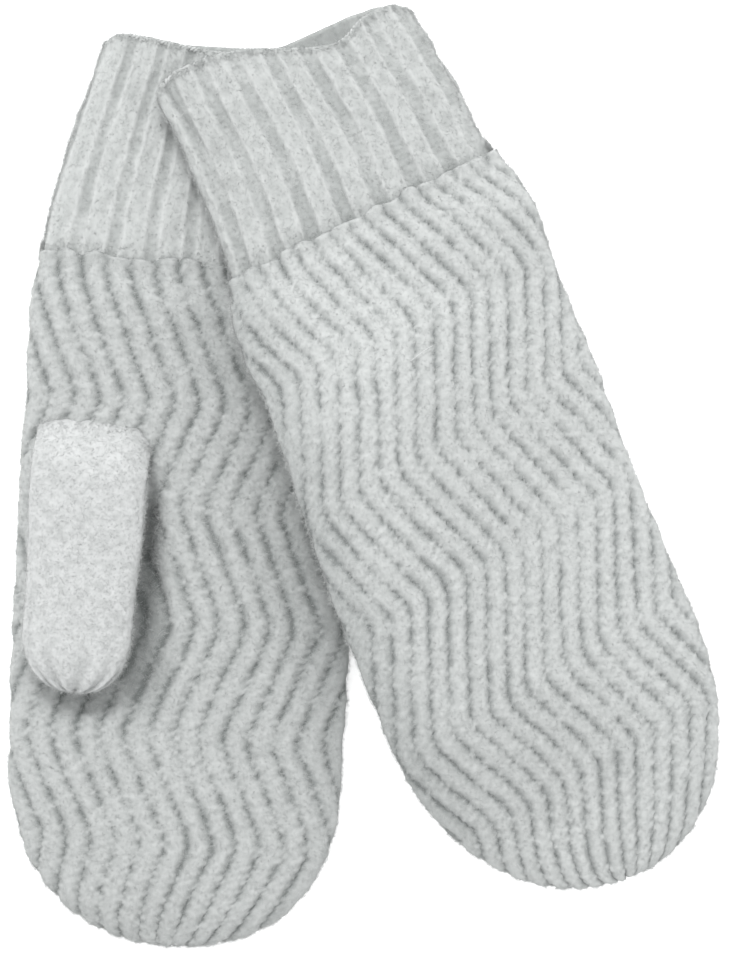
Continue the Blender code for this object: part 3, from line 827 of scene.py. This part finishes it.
def make_materials():
    mottle = fibre_mottle_group()
    return {
        "left hand": wool_material("zigzag rib wool", mottle, (0.457, 0.471, 0.466),
                                   (0.204, 0.217, 0.214), 600.0, 2200.0, 0.12),
        # The right mitten's wool is the same yarn made darker, as painted shade for the lower mitten lying
        # under the upper one.
        "right hand": wool_material("zigzag rib wool, palm", mottle, (0.426, 0.439, 0.435),
                                    (0.172, 0.185, 0.181), 600.0, 2200.0, 0.12),
        "rib": wool_material("wide rib wool", mottle, (0.470, 0.484, 0.479), (0.325, 0.339, 0.334),
                             600.0, 2200.0, 0.12),
        "jersey": wool_material("jersey wool", mottle, (0.508, 0.519, 0.518), (0.400, 0.411, 0.409),
                                700.0, 2200.0, 0.12),
        "seam": wool_material("seam yarn", mottle, (0.465, 0.478, 0.474), (0.350, 0.363, 0.359),
                              700.0, 2200.0, 0.12),
        "fuzz": (plain_material("nap", (0.446, 0.460, 0.456), 0.9),
                 plain_material("loose fibres", (0.560, 0.572, 0.569), 0.9)),
        "pale fuzz": (plain_material("nap of the thumb", (0.505, 0.516, 0.514), 0.9),
                      plain_material("loose fibres of the thumb", (0.580, 0.590, 0.588), 0.9)),
    }


# ---------------------------------------------------------------- pieces

def settle(piece, body, slot, *nodes):
    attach(piece, body)
    if nodes:
        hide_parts(*nodes)


def make_panel(mitten, face, materials, seed):
    part = "palm" if face > 0 else "back"
    on_top = (face > 0) == mitten.palm_up
    pitch = FINE if on_top else PLAIN
    base, share, turn, distance = panel_lines(mitten, pitch, COARSE)
    outer, across, along = hand_points(mitten, base, share, turn, 0.0, face)
    inner = hand_points(mitten, base[::COARSE], share[::COARSE], turn[:, ::COARSE], HAND_WALL, face)[0]
    normals = grid_normals(outer, False)
    middle = hand_points(mitten, base, share, turn, HAND_WALL, face)[0]
    normals = facing_out(outer, normals, middle)
    closing = tip_closing(share)
    height, groove = zigzag_relief(mitten, across, along, distance + 0.0 * base, closing + 0.0 * turn,
                                   seed)
    wrist = np.exp(-((base - mitten.cuff) / (1.8 * MM)) ** 2)
    height = height + (0.25 + 0.25 * (1.0 - groove)) * wrist
    back_over_cuff = wrist * (1.3 + 0.7 * (1.0 - groove)
                              + 1.3 * lumps(across / MM, along / MM, 5.0, seed + 12))
    # painted shade: the colour is darkened in the dent beside the thumb and in the crease between the mittens
    groove = np.clip(groove + painted_fold_shade(mitten, face, outer, across, along), 0.0, 1.0)
    edge = np.minimum(np.abs(turn), np.abs(math.pi - turn)) + 0.0 * base
    height = height - 0.6 * np.exp(-(edge / 0.10) ** 2) * (1.0 - wrist)
    if not on_top:
        height = np.minimum(height, 0.0)
    places = outer + normals * (height * MM)[..., None]
    to_cuff = np.array([-math.sin(mitten.lean), math.cos(mitten.lean), 0.0])
    places = places + to_cuff * (np.clip(back_over_cuff, 0.0, 3.2) * MM)[..., None]
    piece = sheet_piece(f"{mitten.side}_{part}_knit", places, inner, materials[f"{mitten.side} hand"],
                        {"groove": (groove, None)})
    body = f"{mitten.side}_mitten"
    settle(piece, body, "zigzag_wool", f"{mitten.side}_{part}_panel")
    nap, loose = ((46000, 0.7, 1.7), (15000, 1.1, 3.4)) if on_top else ((16000, 0.7, 1.6), (7000, 1.0, 3.0))
    for fuzz in brushed(f"{mitten.side}_{part}", places, normals, nap, loose, materials["fuzz"], seed):
        settle(fuzz, body, "zigzag_wool")
    if on_top and not mitten.palm_up:
        hair = flyaway(f"{mitten.side}_{part}_flyaway", places, normals, (0.0135, 0.0335), (0.0200, 0.0382),
                       materials["fuzz"][1])
        settle(hair, body, "zigzag_wool")


def make_cuff(mitten, materials, seed):
    turns, distance = even_turns(42.0 * MM, 6.0 * MM, 0.0, math.tau, FINE, COARSE)
    turn = turns[None, :-1]
    run = distance[None, :-1]
    rows = round(mitten.cuff / FINE / COARSE) * COARSE
    share = np.linspace(0.0, 1.0, rows + 1)[:, None]
    outer, along = cuff_points(mitten, share, turn, 0.0)
    inner = cuff_points(mitten, share, turn, CUFF_WALL)[0]
    normals = facing_out(outer, grid_normals(outer, True), inner)
    height, shade = cuff_relief(mitten, along, run + 0.0 * share, distance[0], seed)
    crease = crease_depth(mitten, share * mitten.cuff, outer)
    height = height - crease
    height = height - 0.5 * np.exp(-(((1.0 - share) * mitten.cuff) / (2.6 * MM)) ** 2)
    from_edge = share * mitten.cuff
    height = height - 0.15 * np.exp(-(from_edge / (0.6 * MM)) ** 2)
    below = (outer[..., 2] < 1.0 * MM)
    height = np.where(below, np.minimum(height, 0.0), height)
    places = outer + normals * (height * MM)[..., None]
    lining = inner + normals * (0.8 * height * MM)[..., None]
    # The lining takes the outer shade turned over: painted shade where its grooves lie behind the raised
    # ribs.
    piece = sleeve_piece(f"{mitten.side}_cuff_knit", places, lining[::2, ::2], materials["rib"],
                         {"groove": (shade, 1.0 - 0.8 * shade[::2, ::2])})
    body = f"{mitten.side}_mitten"
    settle(piece, body, "ribbed_wool", f"{mitten.side}_cuff")
    for fuzz in brushed(f"{mitten.side}_cuff", places, normals, (32000, 0.6, 1.5), (9000, 0.9, 3.0),
                        materials["fuzz"], seed):
        settle(fuzz, body, "ribbed_wool")
    rim_nap = short_fibres(f"{mitten.side}_cuff_rim_nap", places[:4], normals[:4], 5000, (0.7, 1.6),
                           materials["fuzz"][0], seed + 3)
    settle(rim_nap, body, "ribbed_wool")
    join_nap = long_fibres(f"{mitten.side}_cuff_join_fibres", places[-8:], normals[-8:], 2400, (1.2, 2.6),
                           materials["fuzz"][0], seed + 4)
    settle(join_nap, body, "ribbed_wool")
    mouth_rows = slice(0, round(14.0 * MM / FINE))
    inside = short_fibres(f"{mitten.side}_cuff_inside_nap", lining[mouth_rows], -normals[mouth_rows], 5000,
                          (0.5, 1.2), materials["fuzz"][0], seed + 2)
    settle(inside, body, "ribbed_wool")
    ring = (outer[1] + cuff_points(mitten, share[1:2], turn, CUFF_WALL)[0][0]) / 2.0
    edge = yarn_piece(f"{mitten.side}_cuff_edge_yarn", ring[::3], 0.85 * MM, True, materials["seam"])
    settle(edge, body, "seam_yarn", f"{mitten.side}_cuff_edge")
    ring = outer[-1] * 0.4 + cuff_points(mitten, share[-1:], turn, CUFF_WALL)[0][0] * 0.6
    seam = yarn_piece(f"{mitten.side}_cuff_seam_yarn", ring[::3], 0.7 * MM, True, materials["seam"])
    settle(seam, body, "seam_yarn", f"{mitten.side}_cuff_seam")


def make_side_seam(mitten, materials):
    base, share, turn, distance = panel_lines(mitten, PLAIN, COARSE)
    inset = 0.7 * MM
    along = base + share * (mitten.tip_length - inset)
    middle = hand_middle(mitten, base, share)[0]
    width = (read_stations(mitten.half_widths, base) - inset) * tip_closing(share)
    ends = np.array([[1.0, -1.0]])
    across = read_stations(mitten.sway, along) + width * ends
    places = lay(mitten, across, along + 0.0 * ends, middle + 0.0 * ends)[0]
    path = np.concatenate([places[2:, 0], places[:1:-1, 1]])
    seam = yarn_piece(f"{mitten.side}_side_seam_yarn", path, 0.7 * MM, False, materials["seam"])
    settle(seam, f"{mitten.side}_mitten", "seam_yarn", f"{mitten.side}_side_seam")


def thumb_steps(pitch):
    """Rows from the thumb's root line to its tip: along, height share and width share."""
    shares = np.linspace(0.0, 1.0, round((THUMB_RISE + THUMB_OVERLAP) / pitch))
    root = [(-THUMB_OVERLAP + (THUMB_RISE + THUMB_OVERLAP) * share,
             0.15 + 0.85 * float(ease(share ** 0.8)), 1.0) for share in shares]
    straight = THUMB_LENGTH - THUMB_TIP_ROUND - THUMB_RISE
    count = round(straight / pitch)
    body = [(THUMB_RISE + straight * row / count, 1.0, 1.0) for row in range(1, count)]
    tip_turns = np.linspace(0.0, math.radians(88.5), round(THUMB_TIP_ROUND * 1.55 / pitch))
    tip = [(THUMB_LENGTH - THUMB_TIP_ROUND * (1 - math.sin(turn)), 0.25 + 0.75 * math.cos(turn) ** 0.7,
            math.cos(turn) ** 0.85) for turn in tip_turns]
    return np.array(root + body + tip).T


def make_thumb(mitten, materials, seed):
    pitch = 0.42 * MM
    steps = thumb_steps(pitch)
    turns, distance = even_turns(THUMB_HALF, THUMB_THICK / 2, 0.0, math.tau, pitch, 2)
    turn = turns[None, :-1]
    run = distance[None, :-1] + 0.0 * steps[0][:, None]
    outer = thumb_points(mitten, steps, turn)
    centre = outer.mean(axis=1, keepdims=True)
    normals = facing_out(outer, grid_normals(outer, True), centre + 0.0 * outer)
    along = steps[0][:, None] + 0.0 * turn
    height, shade = jersey_relief(run / MM * (0.35 + 0.65 * steps[2][:, None]), along / MM, seed)
    to_tip = ease((along - THUMB_LENGTH + THUMB_TIP_ROUND * 0.8) / (THUMB_TIP_ROUND * 0.7))
    pleat = np.cos(turn * 11.0 + 1.5 * lumps(run / MM, along / MM, 9.0, seed + 9))
    height = height + to_tip * (0.55 * pleat - 0.2)
    # Painted shade darkens the folds of the pleats at the thumb's tip.
    shade = np.clip(shade + to_tip * 0.6 * np.clip(-pleat, 0, 1), 0, 1)
    fade = ease((along + THUMB_OVERLAP) / (2.0 * MM))
    places = outer + normals * ((height + 0.05) * fade * MM)[..., None]
    rows, columns = places.shape[:2]
    index = np.arange(rows * columns).reshape(rows, columns)
    vertices = np.concatenate([places.reshape(-1, 3), places[0].mean(axis=0)[None],
                               places[-1].mean(axis=0)[None]])
    faces = [grid_faces(index, True)]
    for row, hub, flip in ((index[0], rows * columns, True), (index[-1], rows * columns + 1, False)):
        fan = np.stack([row, np.roll(row, -1), np.full(columns, hub)], axis=1)
        faces.append(fan[:, ::-1] if flip else fan)
    piece = closed_piece(f"{mitten.side}_thumb_knit", vertices, faces, materials["jersey"],
                         {"groove": (shade, None)}, rows * columns)
    fuzz = brushed(f"{mitten.side}_thumb", places, normals, (30000, 0.5, 1.2), (7000, 0.8, 2.6),
                   materials["pale fuzz"], seed)
    root_rows = round(5.0 * MM / pitch)
    fuzz.append(long_fibres(f"{mitten.side}_thumb_root_fibres", places[:root_rows], normals[:root_rows], 2200,
                            (1.0, 2.4), materials["pale fuzz"][0], seed + 3))
    root = lay(mitten, np.array([thumb_middle(mitten)]), np.array([THUMB_ROOT]),
               np.array([HAND_THICK + THUMB_LIFT]))[0][0]
    end = lay(mitten, np.array([thumb_middle(mitten)]), np.array([THUMB_ROOT + 16.0 * MM]),
              np.array([HAND_THICK + THUMB_LIFT]))[0][0]
    for thing in (piece, *fuzz):
        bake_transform(thing)
    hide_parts(f"{mitten.side}_thumb")
    hub = outer[2].mean(axis=0)
    loop = hub + (outer[2] - hub) * (1.0 - 0.6 * MM / THUMB_HALF)
    seam = yarn_piece(f"{mitten.side}_thumb_seam_yarn", loop[::3], 0.45 * MM, True, materials["seam"])
    settle(seam, f"{mitten.side}_mitten", "seam_yarn", f"{mitten.side}_thumb_seam")
    knot = places[-3]
    gather = yarn_piece(f"{mitten.side}_thumb_gather_yarn", knot[::6], 0.45 * MM, True, materials["seam"])
    settle(gather, f"{mitten.side}_thumb_tube", "seam_yarn", f"{mitten.side}_thumb_gather")


# ---------------------------------------------------------------- stage

def make_camera():
    """Looks straight down, with the cuffs at the top of the frame."""
    data = bpy.data.cameras.new("camera")
    data.lens = 100.0
    data.sensor_fit = "VERTICAL"
    data.sensor_height = 36.0
    frame_height = 288.0 * MM
    focus_height = 16.0 * MM
    camera = bpy.data.objects.new("camera", data)
    camera.location = (0.3 * MM, -1.05 * MM, focus_height + frame_height * data.lens / data.sensor_height)
    camera.rotation_euler = (0.0, 0.0, 0.0)
    bpy.context.scene.collection.objects.link(camera)
    bpy.context.scene.camera = camera


def make_stage():
    bpy.ops.mesh.primitive_plane_add(size=6.0, location=(0.0, 0.0, -0.2 * MM))
    floor = bpy.context.object
    floor.name = "table"
    top = plain_material("white table", (0.92, 0.92, 0.92), 0.7)
    shader = top.node_tree.nodes["Principled BSDF"]
    shader.inputs["Emission Color"].default_value = (1.0, 1.0, 1.0, 1.0)
    shader.inputs["Emission Strength"].default_value = TABLE_GLOW
    floor.data.materials.append(top)


def make_light(name, location, size, energy):
    data = bpy.data.lights.new(name, "AREA")
    data.shape = "DISK"
    data.size = size
    data.energy = energy
    light = bpy.data.objects.new(name, data)
    light.location = location
    direction = -np.array(location)
    light.rotation_euler = (math.atan2(math.hypot(direction[0], direction[1]), -direction[2]), 0.0,
                            math.atan2(direction[1], direction[0]) - math.pi / 2)
    bpy.context.scene.collection.objects.link(light)


def make_lights():
    world = bpy.data.worlds.new("soft room")
    world.use_nodes = True
    world.node_tree.nodes["Background"].inputs["Color"].default_value = (1.0, 1.0, 1.0, 1.0)
    world.node_tree.nodes["Background"].inputs["Strength"].default_value = 1.16
    bpy.context.scene.world = world
    make_light("window", (-0.30, 1.35, 1.45), 0.7, 26.0)
    bpy.context.scene.view_settings.view_transform = "Standard"


def main():
    make_camera()
    make_stage()
    make_lights()
    materials = make_materials()
    for number, mitten in enumerate((RIGHT, LEFT)):
        seed = 100 * number
        make_cuff(mitten, materials, seed + 10)
        make_panel(mitten, 1, materials, seed + 30)
        make_panel(mitten, -1, materials, seed + 50)
        make_side_seam(mitten, materials)
        make_thumb(mitten, materials, seed + 70)


main()
